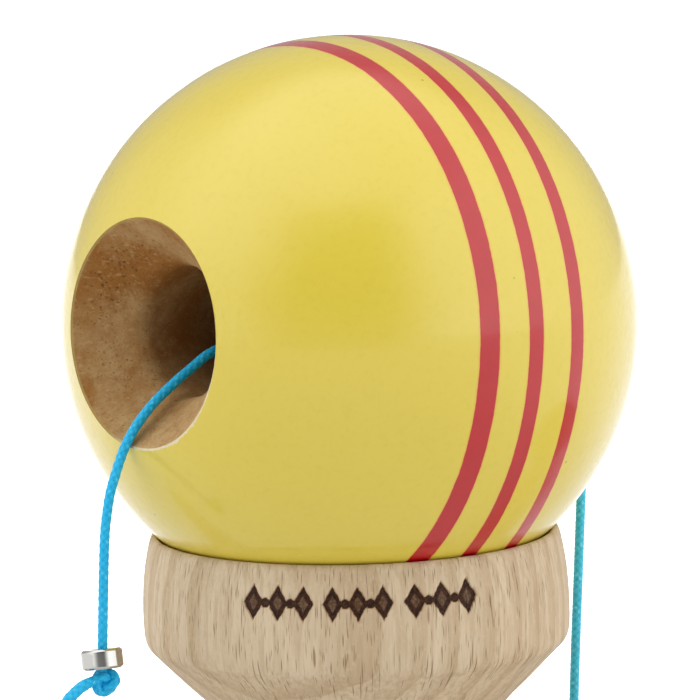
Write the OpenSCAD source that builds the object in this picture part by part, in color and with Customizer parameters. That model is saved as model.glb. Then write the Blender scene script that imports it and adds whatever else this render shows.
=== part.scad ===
// Ball-and-cup skill toy: a turned wooden ken with a spike and a base cup, a
// cross piece with a big and a small cup, a lacquered ball with a bevelled
// hole, and one braided string with a steel bead.
// It stands on the small cup's rim, with the ball on the big cup.
// Frame: origin at the centre of the small cup's rim, +Z up through both
// cups, +X along the ken towards the base cup. Millimetres.

/* [Ball] */
// Diameter of the ball
ball_d = 60; // [56:0.5:62]
// Diameter of the hole that takes the spike
bore_d = 13.4; // [12:0.1:15]
// Diameter of the bevel where it meets the ball's surface
bevel_d = 23.6; // [20:0.1:26]
// Distance from the ball's centre to the bottom of the bevel
bevel_floor = 22; // [20:0.5:24]
// Distance from the ball's centre to the bottom of the hole, on the far side
bore_floor = 18; // [12:0.5:22]
// Diameter of the small hole that the string goes through
string_hole_d = 3.4; // [3:0.1:4]
// Turn of the hole's axis about Z, from -X towards -Y, in degrees
hole_turn = 40; // [30:1:50]
// Upward tilt of the hole's axis, in degrees
hole_tilt = 4; // [0:0.5:8]
// Height of the ball's centre above the big cup's rim
ball_seat = 21.85; // [21.85:0.05:23]

/* [Cross piece] */
// Height from the small cup's rim to the big cup's rim
cross_h = 70; // [68:0.5:72]
// Greatest diameter of the big cup
big_cup_d = 44.7; // [43.5:0.1:46]
// Depth of the big cup
big_cup_depth = 14; // [12:0.5:15]
// Greatest diameter of the small cup
small_cup_d = 40; // [38:0.1:42]
// Depth of the small cup
small_cup_depth = 11; // [8:0.5:12]
// Diameter of the waist between the cups
waist_d = 25.2; // [24.4:0.1:27]
// Height of the ken's axis above the small cup's rim
ken_z = 36; // [35:0.5:37]

/* [Ken] */
// Distance from the cross piece's axis to the tip of the spike
spike_len = 62; // [58:1:66]
// Distance from the cross piece's axis to the base cup's rim
grip_len = 100; // [96:1:106]
// Greatest diameter of the base cup
base_cup_d = 37; // [35:0.5:39]
// Depth of the base cup
base_cup_depth = 8; // [6:0.5:10]
// Greatest diameter of the grip
grip_d = 17.6; // [16.5:0.1:19]
// Diameter of the seat where the ken enters the cross piece
seat_d1 = 13; // [12.5:0.1:13.5]
// Diameter of the seat at the shoulder
seat_d2 = 15.2; // [14.6:0.1:16]

/* [String] */
// Diameter of the braided string
string_d = 1; // [0.8:0.05:1.2]
// Outer diameter of the steel bead
bead_d = 4.25; // [4:0.05:4.6]
// Height of the steel bead
bead_h = 2.05; // [1.8:0.05:2.4]
// Diameter of the bead's hole
bead_hole_d = 1.7; // [1.6:0.05:2]
// Lean of the bead to the left where it rests on the knot, in degrees
bead_lean = 5; // [0:0.5:6]
// Lean of the bead to the back, in degrees
bead_back = 8.5; // [0:0.5:9]

/* [Hidden] */

$fn = 96;
wood = "burlywood";
lacquer = "khaki";
cord_blue = "deepskyblue";
steel = "lightgrey";

ball_r = ball_d / 2;
ball_z = cross_h + ball_seat;
bevel_r = bevel_d / 2;
bore_r = bore_d / 2;
bevel_top = sqrt(ball_r * ball_r - bevel_r * bevel_r);
bevel_slope = (bevel_r - bore_r) / (bevel_top - bevel_floor);
// unit vector out of the ball's bevelled hole
hole_dir = [-cos(hole_tilt) * cos(hole_turn),
            -cos(hole_tilt) * sin(hole_turn), sin(hole_tilt)];
ball_c = [0, 0, ball_z];

// ---- helpers -------------------------------------------------------------

// points on an arc of radius r about c, from angle a0 to a1, in n steps
function arc(c, r, a0, a1, n) =
    [for (i = [0:n]) let (a = a0 + (a1 - a0) * i / n)
        [c[0] + r * cos(a), c[1] + r * sin(a)]];

// radius of the sphere cap with that opening radius and depth
function cap_r(open_r, depth) =
    (open_r * open_r + depth * depth) / (2 * depth);

function unit(v) = v / norm(v);

// direction of the route at point i
function along(p, i) =
    unit(p[min(i + 1, len(p) - 1)] - p[max(i - 1, 0)]);

// a direction across the route at each point, carried along without twist
function across(p, i, n) =
    i >= len(p) ? [] :
    let (t = along(p, i), m = unit(n - (n * t) * t))
    concat([m], across(p, i + 1, m));

// a closed tube of diameter d with k sides through the points of route p
module tube(p, d, k = 8) {
    t0 = along(p, 0);
    side = abs(t0[2]) < 0.9 ? [0, 0, 1] : [1, 0, 0];
    u = across(p, 0, unit(side - (side * t0) * t0));
    pts = [for (i = [0:len(p) - 1], j = [0:k - 1])
        let (a = 360 * j / k, v = cross(along(p, i), u[i]))
        p[i] + d / 2 * (cos(a) * u[i] + sin(a) * v)];
    last = (len(p) - 1) * k;
    polyhedron(pts, concat(
        [[for (j = [0:k - 1]) j]],
        [for (i = [0:len(p) - 2], j = [0:k - 1])
            [i * k + j, (i + 1) * k + j,
             (i + 1) * k + (j + 1) % k, i * k + (j + 1) % k]],
        [[for (j = [k - 1:-1:0]) last + j]]), convexity = 8);
}

// turns +Z to the direction v
module aim(v) {
    rotate([0, acos(v[2] / norm(v)), atan2(v[1], v[0])]) children();
}

module at_ball() {
    translate(ball_c) aim(hole_dir) children();
}

// ---- the string's route, from the knot in the ken to the end knot ---------

// ken's knot, out of the cross piece's back, down to the table, to the coil
route_ken = [
    [0, -3.6, 36], [0, 0, 36], [0, 6, 36], [0, 12.6, 36], [0.1, 14, 35.8],
    [0.4, 15.3, 34.9], [0.9, 16.2, 33.2], [2, 17.1, 30], [3.8, 18.2, 26],
    [6, 19.5, 21.5], [8.4, 20.9, 17], [11, 22.3, 12.5], [13.6, 23.6, 8.4],
    [16.2, 24.6, 5], [19, 25.2, 2.6], [22, 25.5, 1.2], [25, 25.6, 0.6],
    [29, 25.6, 0.5], [33, 25.6, 0.5]];

coil_c = [33, 18.5];
coil_r0 = 4.3;
coil_r1 = 7.7;
coil_h = 2.1;

// off the top of the coil and up to the ball's string hole
route_fall = [
    [26.4, 18.5, 1.6], [26.3, 19.6, 1.9], [25.9, 20.7, 2.8],
    [25.2, 21.5, 4.4], [24.5, 21.9, 6.6], [23.9, 22, 9.5], [23.4, 21.9, 14],
    [23, 21.7, 20], [22.8, 21.5, 27], [22.9, 21.4, 35], [23.1, 21.3, 43],
    [23.5, 21.3, 52], [24, 21.3, 61], [24.5, 21.3, 70], [25, 21.3, 78],
    [25.3, 21.3, 84], [25.4, 21.3, 86.6], [25.1, 21.05, 88.3],
    [24.5, 20.55, 89.3], [23.7, 19.9, 89.75], [23, 19.3, 89.8]];

// through the ball and over the lip of its bevelled hole
route_in = [
    [23, 19.3, 89.8], [15.4, 12.9, 90.4], [7.6, 6.4, 91], [0, 0, 91.6],
    [-6, -5.3, 91.9], [-10.4, -9.2, 91.7], [-13, -11.3, 91.25],
    [-14.6, -12.45, 90.7], [-16, -13.25, 89.7], [-17.5, -14.1, 88.6],
    [-18.85, -14.85, 87.5], [-20.1, -15.6, 86.4], [-21.1, -16.15, 85.3],
    [-22, -16.65, 84.15], [-22.75, -17.1, 82.95], [-23.1, -17.3, 82.3]];

// from the lip down to the end knot; the last stretch is straight
route_hang = [
    [-23.4, -17.55, 81.65], [-23.85, -17.95, 80.5], [-24.25, -18.3, 79.3],
    [-24.65, -18.6, 78.1], [-24.95, -18.9, 76.8], [-25.15, -19.05, 75.6],
    [-25.35, -19.2, 74.2], [-25.5, -19.3, 72.5], [-26.1, -19.9, 59.5]];

route_tail = [
    [-26.6, -20.3, 58.4], [-27.6, -21.1, 58.3], [-28.4, -21.7, 58],
    [-29.2, -22.4, 57.4], [-29.9, -23, 56.6], [-30.4, -23.5, 55.5],
    [-30.8, -23.8, 54.2], [-31, -24, 52.8], [-31.1, -24.1, 51.4]];

bead_c = [-26.05, -19.84, 60.72];
knot_c = [-26.1, -19.88, 58.35];

// ---- the cross piece ------------------------------------------------------

big_r = big_cup_d / 2;
small_r = small_cup_d / 2;
waist_r = waist_d / 2;
big_open = big_r - 1.75;
small_open = small_r - 1.8;
big_cap = cap_r(big_open, big_cup_depth - 0.25);
small_cap = cap_r(small_open, small_cup_depth - 0.3);
big_cap_a = asin(big_open / big_cap);
small_cap_a = asin(small_open / small_cap);

module sarado_outline() {
    polygon(concat(
        // the small cup's hollow, from the middle out to its rim
        arc([0, small_cup_depth - small_cap], small_cap, 90,
            90 - small_cap_a, 16),
        [[small_r - 1.55, 0], [small_r - 0.95, 0],
         [small_r - 0.6, 0.15], [small_r - 0.45, 0.7],
         [small_r - 0.2, 2.5], [small_r - 0.05, 4.6], [small_r, 6.6],
         [small_r - 0.05, 8.4], [small_r - 0.2, 9.9],
         [small_r - 0.6, 10.8], [small_r - 1.3, 11.6],
         [small_r - 4.9, 15.4], [small_r - 6, 16.9]],
        // the waist
        [[waist_r + 0.6, 19], [waist_r + 0.15, 21.6], [waist_r, 25],
         [waist_r, cross_h - 27], [waist_r + 0.1, cross_h - 24.8],
         [waist_r + 0.5, cross_h - 22.6], [waist_r + 1.3, cross_h - 20.9]],
        // the big cup
        [[big_r - 6.7, cross_h - 18], [big_r - 1.1, cross_h - 12.3],
         [big_r - 0.45, cross_h - 11.6], [big_r - 0.15, cross_h - 10.9],
         [big_r, cross_h - 8.6], [big_r - 0.05, cross_h - 6.4],
         [big_r - 0.2, cross_h - 4.4], [big_r - 0.5, cross_h - 2.4],
         [big_r - 0.9, cross_h - 0.6], [big_r - 1.05, cross_h - 0.2],
         [big_r - 1.3, cross_h], [big_r - 1.55, cross_h]],
        arc([0, cross_h - big_cup_depth + big_cap], big_cap,
            -90 + big_cap_a, -90, 16)));
}

// the tapered seat, the same on the ken and in the cross piece
module seat(over = 0) {
    k = (seat_d2 - seat_d1) / 2 / 25.2;
    translate([-12.6 - over, 0, ken_z]) rotate([0, 90, 0])
        cylinder(h = 25.8 + 2 * over, r1 = seat_d1 / 2 - k * over,
                 r2 = seat_d1 / 2 + k * (25.8 + over));
}

module sarado() {
    color(wood) difference() {
        rotate_extrude() sarado_outline();
        seat(3);
        // string hole out of the back, with a countersunk mouth
        translate([0, 0, ken_z]) rotate([-90, 0, 0])
            cylinder(h = 30, r = 1.1);
        translate([0, waist_r - 0.6, ken_z]) rotate([-90, 0, 0])
            cylinder(h = 1.4, r1 = 1.1, r2 = 2.5);
    }
}

// ---- the ken ----------------------------------------------------------------

base_r = base_cup_d / 2;
base_open = base_r - 2.2;
base_cap = cap_r(base_open, base_cup_depth - 0.3);
base_cap_a = asin(base_open / base_cap);
grip_r = grip_d / 2;

// [radius, distance along the ken]; the seat runs from -12.6 to 13.2
module ken_outline() {
    s = -spike_len;
    g = grip_len;
    k = (seat_d2 - seat_d1) / 2 / 25.2;
    polygon(concat(
        [[0, s], [0.9, s + 0.08], [1.6, s + 0.4], [2.1, s + 0.95],
         [2.45, s + 1.8], [2.8, s + 3.6], [3.5, s + 9], [4.2, s + 15],
         [4.9, s + 22], [5.5, s + 30], [5.95, s + 38], [6.25, s + 44],
         [seat_d1 / 2, -12.6], [seat_d1 / 2 + k * 25.8, 13.2]],
        // shoulder
        [[9, 13.2], [9.5, 13.5], [9.75, 14.1], [9.75, 15.2], [9.5, 15.9],
         [8.9, 16.5], [8.3, 17.2], [7.9, 18.4]],
        // grip
        [[7.65, 21], [7.7, 26], [8, 32], [8.4, 39], [grip_r - 0.1, 45],
         [grip_r, 50], [grip_r - 0.1, 55], [8.4, 61], [8, 67.5], [7.75, 73],
         [7.8, g - 23], [8.3, g - 19.2], [9.5, g - 15.6],
         [11.3, g - 12.6], [13.4, g - 10], [15.4, g - 7.9]],
        // base cup
        [[base_r - 1.5, g - 6.4], [base_r - 0.7, g - 5.6],
         [base_r - 0.25, g - 4.7], [base_r, g - 3.4], [base_r - 0.05, g - 2.2],
         [base_r - 0.35, g - 1], [base_r - 0.75, g - 0.3],
         [base_r - 1.2, g], [base_r - 1.9, g]],
        arc([0, g - base_cup_depth + base_cap], base_cap,
            -90 + base_cap_a, -90, 14)));
}

module ken() {
    color(wood) difference() {
        translate([0, 0, ken_z]) rotate([0, 90, 0])
            rotate_extrude() ken_outline();
        // cross hole for the string, and the pocket for its knot
        translate([0, -20, ken_z]) rotate([-90, 0, 0])
            cylinder(h = 40, r = 1.1);
        translate([0, -20, ken_z]) rotate([-90, 0, 0])
            cylinder(h = 16.4, r = 2.3);
    }
}

// ---- the ball -----------------------------------------------------------------

module tama() {
    color(lacquer) difference() {
        translate(ball_c) sphere(r = ball_r);
        at_ball() {
            translate([0, 0, bevel_floor])
                cylinder(h = 12, r1 = bore_r, r2 = bore_r + 12 * bevel_slope);
            translate([0, 0, -bore_floor])
                cylinder(h = bore_floor + bevel_floor + 1, r = bore_r);
            translate([0, 0, -bore_floor - 2.4])
                cylinder(h = 2.4, r1 = 3, r2 = bore_r);
            translate([0, 0, -ball_r - 2])
                cylinder(h = ball_r, d = string_hole_d);
            translate([0, 0, -ball_r - 1])
                cylinder(h = 2, r1 = string_hole_d / 2 + 1.9,
                         r2 = string_hole_d / 2 - 0.1);
        }
    }
}

// ---- the string and what is on it ----------------------------------------------

module ken_knot() {
    color(cord_blue) hull() {
        translate([0.4, -5.3, ken_z]) sphere(r = 1.5, $fn = 24);
        translate([-0.4, -5, ken_z]) sphere(r = 1.5, $fn = 24);
    }
}

module string_ken_side() {
    color(cord_blue) tube(route_ken, string_d);
}

module string_coil() {
    color(cord_blue) translate(coil_c) rotate_extrude()
        polygon([[coil_r0 + 0.4, 0], [coil_r1 - 0.4, 0], [coil_r1, 0.4],
                 [coil_r1, 0.9], [coil_r1 - 0.9, coil_h],
                 [coil_r0 + 0.9, coil_h], [coil_r0, 0.9], [coil_r0, 0.4]]);
}

module string_fall() {
    color(cord_blue) tube(route_fall, string_d);
}

module string_in_tama() {
    color(cord_blue) tube(route_in, string_d);
}

module string_hang() {
    color(cord_blue) tube(route_hang, string_d);
}

module string_tail() {
    color(cord_blue) tube(route_tail, string_d);
}

module end_knot() {
    color(cord_blue) hull() {
        translate(knot_c + [-0.35, -0.3, -0.1]) sphere(r = 1.05, $fn = 24);
        translate(knot_c + [0.4, 0.3, 0]) sphere(r = 1.05, $fn = 24);
    }
}

module end_bead() {
    c = 0.25;
    color(steel) translate(bead_c) rotate([-bead_back, -bead_lean, 0])
        rotate_extrude()
        polygon([[bead_hole_d / 2, -bead_h / 2 + c],
                 [bead_hole_d / 2 + c, -bead_h / 2],
                 [bead_d / 2 - c, -bead_h / 2],
                 [bead_d / 2, -bead_h / 2 + c],
                 [bead_d / 2, bead_h / 2 - c],
                 [bead_d / 2 - c, bead_h / 2],
                 [bead_hole_d / 2 + c, bead_h / 2],
                 [bead_hole_d / 2, bead_h / 2 - c]]);
}

ken();
sarado();
tama();
ken_knot();
string_ken_side();
string_coil();
string_fall();
string_in_tama();
string_hang();
string_tail();
end_knot();
end_bead();
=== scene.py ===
import math

import bpy
import numpy as np
from mathutils import Matrix, Vector


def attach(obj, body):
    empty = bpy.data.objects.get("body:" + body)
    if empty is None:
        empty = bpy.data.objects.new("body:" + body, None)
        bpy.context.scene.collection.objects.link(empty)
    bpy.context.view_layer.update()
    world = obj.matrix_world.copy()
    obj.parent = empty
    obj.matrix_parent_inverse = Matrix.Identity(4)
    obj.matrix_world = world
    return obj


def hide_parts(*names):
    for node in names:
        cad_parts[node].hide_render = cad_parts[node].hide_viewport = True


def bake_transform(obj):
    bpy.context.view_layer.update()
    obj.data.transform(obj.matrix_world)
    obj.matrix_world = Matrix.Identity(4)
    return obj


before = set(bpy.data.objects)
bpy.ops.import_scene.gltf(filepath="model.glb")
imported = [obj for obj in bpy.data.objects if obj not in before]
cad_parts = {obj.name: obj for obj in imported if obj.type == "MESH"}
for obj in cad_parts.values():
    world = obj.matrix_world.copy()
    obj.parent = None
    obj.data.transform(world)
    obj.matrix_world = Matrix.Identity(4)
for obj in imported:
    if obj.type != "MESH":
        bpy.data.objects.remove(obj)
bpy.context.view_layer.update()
rng = np.random.default_rng(7)
MM = 0.001

# ---------------------------------------------------------------- camera ----
ELEV, ROLL = math.radians(8.5), math.radians(1.42)
cam_data = bpy.data.cameras.new("camera")
cam_data.lens = 360.0
cam_data.sensor_width = 36.0
cam_data.clip_start, cam_data.clip_end = 0.05, 30.0
camera = bpy.data.objects.new("camera", cam_data)
bpy.context.scene.collection.objects.link(camera)
r0, u0 = Vector((1, 0, 0)), Vector((0, math.sin(ELEV), math.cos(ELEV)))
fwd = Vector((0, math.cos(ELEV), -math.sin(ELEV)))
cx = r0 * math.cos(ROLL) - u0 * math.sin(ROLL)
cy = r0 * math.sin(ROLL) + u0 * math.cos(ROLL)
m = Matrix((cx, cy, -fwd)).transposed().to_4x4()
m.translation = Vector((-0.00000974, -0.721381, 0.196775))
camera.matrix_world = m
bpy.context.scene.camera = camera
bpy.context.scene.view_settings.view_transform = "Standard"
bpy.context.scene.view_settings.look = "None"

# ------------------------------------------------------------ mesh helpers ----


def smooth(points, step):
    """A centripetal spline through the points, with a point about every step."""
    p = np.array(points, float)
    p = np.vstack([2 * p[0] - p[1], p, 2 * p[-1] - p[-2]])
    out = []
    for i in range(1, len(p) - 2):
        a, b, c, d = p[i - 1], p[i], p[i + 1], p[i + 2]
        t0 = 0.0
        t1 = t0 + max(np.linalg.norm(b - a), 1e-9) ** 0.5
        t2 = t1 + max(np.linalg.norm(c - b), 1e-9) ** 0.5
        t3 = t2 + max(np.linalg.norm(d - c), 1e-9) ** 0.5
        n = max(1, int(math.ceil(np.linalg.norm(c - b) / step)))
        for k in range(n):
            t = t1 + (t2 - t1) * k / n
            a1 = (t1 - t) / (t1 - t0) * a + (t - t0) / (t1 - t0) * b
            a2 = (t2 - t) / (t2 - t1) * b + (t - t1) / (t2 - t1) * c
            a3 = (t3 - t) / (t3 - t2) * c + (t - t2) / (t3 - t2) * d
            b1 = (t2 - t) / (t2 - t0) * a1 + (t - t0) / (t2 - t0) * a2
            b2 = (t3 - t) / (t3 - t1) * a2 + (t - t1) / (t3 - t1) * a3
            out.append((t2 - t) / (t2 - t1) * b1 + (t - t1) / (t2 - t1) * b2)
    out.append(p[-2])
    return np.array(out)


def even(line, step):
    """The same line with points at even steps."""
    s = np.concatenate([[0], np.cumsum(np.linalg.norm(np.diff(line, axis=0), axis=1))])
    n = max(2, int(round(s[-1] / step)) + 1)
    t = np.linspace(0, s[-1], n)
    return np.stack([np.interp(t, s, line[:, k]) for k in range(line.shape[1])], 1), t


def length_of(line):
    return float(np.linalg.norm(np.diff(line, axis=0), axis=1).sum())


def arc(c, r, a0, a1, n):
    return [
        (
            c[0] + r * math.cos(math.radians(a0 + (a1 - a0) * i / n)),
            c[1] + r * math.sin(math.radians(a0 + (a1 - a0) * i / n)),
        )
        for i in range(n + 1)
    ]


def waves(p, scale, seed, n=24, octaves=1):
    """Smooth random field of about -1 to 1; scale is its wavelength in mm."""
    g = np.random.default_rng(seed)
    out = np.zeros(len(p))
    for o in range(octaves):
        k = g.normal(size=(n, 3))
        k /= np.linalg.norm(k, axis=1)[:, None]
        k *= 2 * math.pi / (scale / 2**o) * g.uniform(0.6, 1.4, (n, 1))
        ph = g.uniform(0, 2 * math.pi, n)
        f = np.zeros(len(p))
        for j in range(n):
            f += np.sin(p @ k[j] + ph[j])
        out += f / math.sqrt(n / 2) / 2 * 0.5**o
    return out


def make(name, verts, faces, mats=(), face_mat=None, attrs=None, smooth_faces=True):
    mesh = bpy.data.meshes.new(name)
    mesh.from_pydata(verts.tolist(), [], faces)
    for k, v in (attrs or {}).items():
        a = mesh.attributes.new(k, "FLOAT", "POINT")
        a.data.foreach_set("value", np.asarray(v, np.float32))
    for mt in mats:
        mesh.materials.append(mt)
    if face_mat is not None:
        mesh.polygons.foreach_set("material_index", np.asarray(face_mat, np.int32))
    if smooth_faces:
        mesh.polygons.foreach_set("use_smooth", np.ones(len(mesh.polygons), bool))
    mesh.validate()
    mesh.update()
    o = bpy.data.objects.new(name, mesh)
    bpy.context.scene.collection.objects.link(o)
    return o


def lathe(name, prof, angles, axes, origin, mats=(), ring_mat=None, move=None,
          closed=False, sharp=None):
    """Turns prof, points (r, h) in mm, about an axis. move(points, angle, r, h, normal) gives an offset in mm along the normal, or points, and attributes."""
    prof = np.asarray(prof, float)
    n, c = len(prof), len(angles)
    ex, ey, eh = (np.array(a, float) for a in axes)
    tan = np.gradient(prof, axis=0)
    if closed:
        tan = (np.roll(prof, -1, 0) - np.roll(prof, 1, 0)) / 2
    tan /= np.maximum(np.linalg.norm(tan, axis=1), 1e-12)[:, None]
    nrm2 = np.stack([tan[:, 1], -tan[:, 0]], 1)
    ca, sa = np.cos(angles), np.sin(angles)
    radial = ca[:, None] * ex + sa[:, None] * ey
    r, h = prof[:, 0], prof[:, 1]
    pts = (
        r[:, None, None] * radial[None] + h[:, None, None] * eh + np.array(origin)
    ).reshape(-1, 3)
    nrm = (
        nrm2[:, 0, None, None] * radial[None] + nrm2[:, 1, None, None] * eh
    ).reshape(-1, 3)
    attrs = {}
    if move is not None:
        off, attrs = move(
            pts, np.tile(angles, n), np.repeat(r, c), np.repeat(h, c),
            np.repeat(np.arange(n), c),
        )
        pts = pts + nrm * off[:, None] if off.ndim == 1 else pts + off
    pole0, pole1 = (not closed) and r[0] < 1e-9, (not closed) and r[-1] < 1e-9
    idx = np.arange(n * c).reshape(n, c)
    faces, fm = [], []
    last = n if closed else n - 1
    for i in range(last):
        a, b = idx[i], idx[(i + 1) % n]
        a1, b1 = np.roll(a, -1), np.roll(b, -1)
        if pole0 and i == 0:
            f = np.stack([np.full(c, a[0]), b1, b], 1).tolist()
        elif pole1 and i == n - 2:
            f = np.stack([a, a1, np.full(c, b[0])], 1).tolist()
        else:
            f = np.stack([a, a1, b1, b], 1).tolist()
        faces += f
        fm += [0 if ring_mat is None else int(ring_mat[i])] * c
    used = np.ones(n * c, bool)
    if pole0:
        used[idx[0][1:]] = False
    if pole1:
        used[idx[n - 1][1:]] = False
    new = np.cumsum(used) - 1
    faces = [[int(new[k]) for k in f] for f in faces]
    attrs = {k: v[used] for k, v in attrs.items()}
    return make(name, pts[used] * MM, faces, mats, fm, attrs)


def cut(obj, *tools):
    for t in tools:
        mod = obj.modifiers.new("cut", "BOOLEAN")
        mod.operation, mod.object = "DIFFERENCE", t
        mod.solver = "MANIFOLD"
        dg = bpy.context.evaluated_depsgraph_get()
        done = bpy.data.meshes.new_from_object(obj.evaluated_get(dg))
        obj.modifiers.remove(mod)
        obj.data = done
    for t in tools:
        bpy.data.objects.remove(t)
    obj.data.name = obj.name


# -------------------------------------------------------------- node helpers ----


class Nodes:
    def __init__(self, name):
        self.mat = bpy.data.materials.new(name)
        self.mat.use_nodes = True
        self.t = self.mat.node_tree
        self.t.nodes.clear()
        self.out = self.t.nodes.new("ShaderNodeOutputMaterial")
        self.bsdf = self.t.nodes.new("ShaderNodeBsdfPrincipled")
        self.t.links.new(self.bsdf.outputs[0], self.out.inputs["Surface"])
        self.co = self.t.nodes.new("ShaderNodeTexCoord").outputs["Object"]

    def put(self, socket, v):
        if isinstance(v, bpy.types.NodeSocket):
            self.t.links.new(v, socket)
        elif isinstance(v, (tuple, list)) and socket.type == "RGBA" and len(v) == 3:
            socket.default_value = (*v, 1)
        else:
            socket.default_value = v

    def set(self, **kw):
        for k, v in kw.items():
            self.put(self.bsdf.inputs[k.replace("_", " ")], v)

    def math(self, op, a, b=0.0, c=None, clamp=False):
        n = self.t.nodes.new("ShaderNodeMath")
        n.operation, n.use_clamp = op, clamp
        self.put(n.inputs[0], a)
        self.put(n.inputs[1], b)
        if c is not None:
            self.put(n.inputs[2], c)
        return n.outputs[0]

    def vmath(self, op, a, b=(0, 0, 0)):
        n = self.t.nodes.new("ShaderNodeVectorMath")
        n.operation = op
        self.put(n.inputs[0], a)
        if op == "SCALE":
            self.put(n.inputs[3], b)
        else:
            self.put(n.inputs[1], b)
        return n.outputs["Value" if op in ("DOT_PRODUCT", "LENGTH", "DISTANCE") else 0]

    def noise(self, v, scale, detail=2.0, rough=0.5, dist=0.0, color=False):
        n = self.t.nodes.new("ShaderNodeTexNoise")
        self.put(n.inputs["Vector"], v)
        n.inputs["Scale"].default_value = scale
        n.inputs["Detail"].default_value = detail
        n.inputs["Roughness"].default_value = rough
        n.inputs["Distortion"].default_value = dist
        return n.outputs["Color" if color else "Fac"] if not color else n.outputs[1]

    def voronoi(self, v, scale, feature="F1", random=1.0, flat=False):
        n = self.t.nodes.new("ShaderNodeTexVoronoi")
        if flat:
            n.voronoi_dimensions = "2D"
        n.feature = feature
        self.put(n.inputs["Vector"], v)
        n.inputs["Scale"].default_value = scale
        n.inputs["Randomness"].default_value = random
        return n.outputs["Distance"], n.outputs.get("Color")

    def ramp(self, v, lo, hi, a=0.0, b=1.0, kind="SMOOTHSTEP"):
        n = self.t.nodes.new("ShaderNodeMapRange")
        n.interpolation_type = kind
        self.put(n.inputs["Value"], v)
        for k, x in (("From Min", lo), ("From Max", hi), ("To Min", a), ("To Max", b)):
            self.put(n.inputs[k], x)
        return n.outputs[0]

    def mix(self, f, a, b, how="MIX"):
        n = self.t.nodes.new("ShaderNodeMix")
        n.data_type, n.blend_type = "RGBA", how
        self.put(n.inputs[0], f)
        self.put(n.inputs[6], a)
        self.put(n.inputs[7], b)
        return n.outputs[2]

    def sep(self, v):
        n = self.t.nodes.new("ShaderNodeSeparateXYZ")
        self.put(n.inputs[0], v)
        return n.outputs[0], n.outputs[1], n.outputs[2]

    def comb(self, x, y, z):
        n = self.t.nodes.new("ShaderNodeCombineXYZ")
        for i, v in enumerate((x, y, z)):
            self.put(n.inputs[i], v)
        return n.outputs[0]

    def attr(self, name):
        n = self.t.nodes.new("ShaderNodeAttribute")
        n.attribute_name = name
        return n.outputs["Fac"]

    def bump(self, height, dist, strength=1.0, normal=None):
        n = self.t.nodes.new("ShaderNodeBump")
        n.inputs["Strength"].default_value = strength
        n.inputs["Distance"].default_value = dist
        self.put(n.inputs["Height"], height)
        if normal is not None:
            self.put(n.inputs["Normal"], normal)
        return n.outputs[0]


def lin(r, g, b):
    """sRGB 0-255 to linear."""
    out = []
    for v in (r, g, b):
        v /= 255
        out.append(v / 12.92 if v <= 0.04045 else ((v + 0.055) / 1.055) ** 2.4)
    return tuple(out)


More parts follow.
